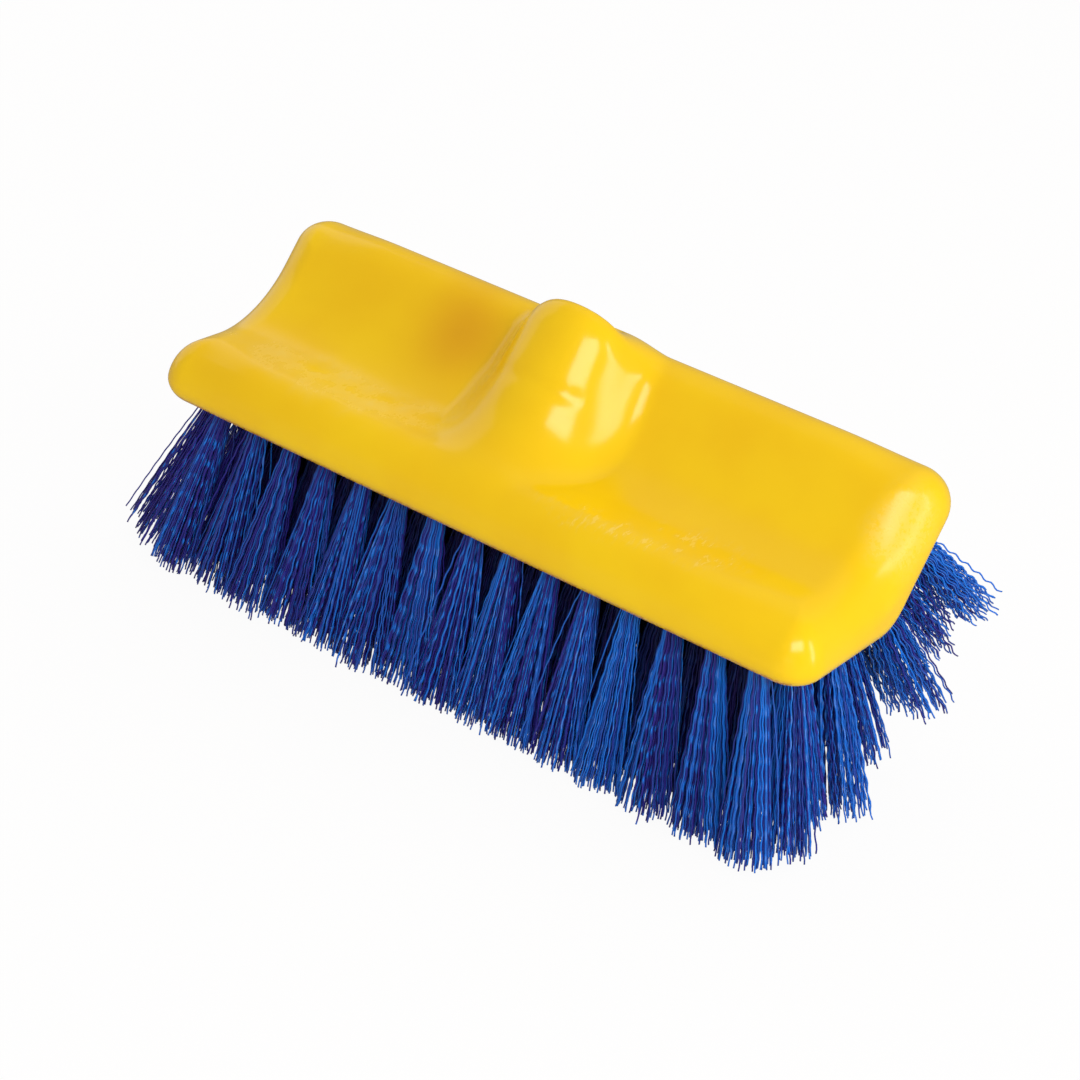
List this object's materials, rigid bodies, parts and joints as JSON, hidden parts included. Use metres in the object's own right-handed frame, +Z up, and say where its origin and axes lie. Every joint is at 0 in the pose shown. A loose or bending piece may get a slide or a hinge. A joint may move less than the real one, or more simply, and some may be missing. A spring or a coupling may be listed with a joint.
{
  "type": "deck scrub brush head",
  "caption": "Plastic scrub brush head with a moulded block bent into two faces, staggered rows of stiff crimped bristle tufts on both and a socket boss for a threaded handle.",
  "frame": {"origin": "centre of the bounding box in X and Y, on the level of the front rows' trimmed tips", "axes": "+X along the block, -Y towards the front lip, +Z up, square to the front scrubbing face"},
  "size_m": [0.2648, 0.1212, 0.1301],
  "materials": {
    "block_plastic": "smooth moulded polypropylene, satin gloss, lightly scuffed",
    "bristle": "crimped polypropylene filament",
    "anchor_wire": "flat drawn wire"
  },
  "bodies": {
    "root": {"block": "block_plastic", "tuft_row_1": "bristle", "tuft_row_2": "bristle", "tuft_row_3": "bristle", "tuft_row_4": "bristle", "tuft_row_5": "bristle", "tuft_row_6": "bristle", "tuft_row_7": "bristle", "tuft_row_8": "bristle", "tuft_anchors_1": "anchor_wire", "tuft_anchors_2": "anchor_wire", "tuft_anchors_3": "anchor_wire", "tuft_anchors_4": "anchor_wire", "tuft_anchors_5": "anchor_wire", "tuft_anchors_6": "anchor_wire", "tuft_anchors_7": "anchor_wire", "tuft_anchors_8": "anchor_wire"}
  },
  "joints": []
}
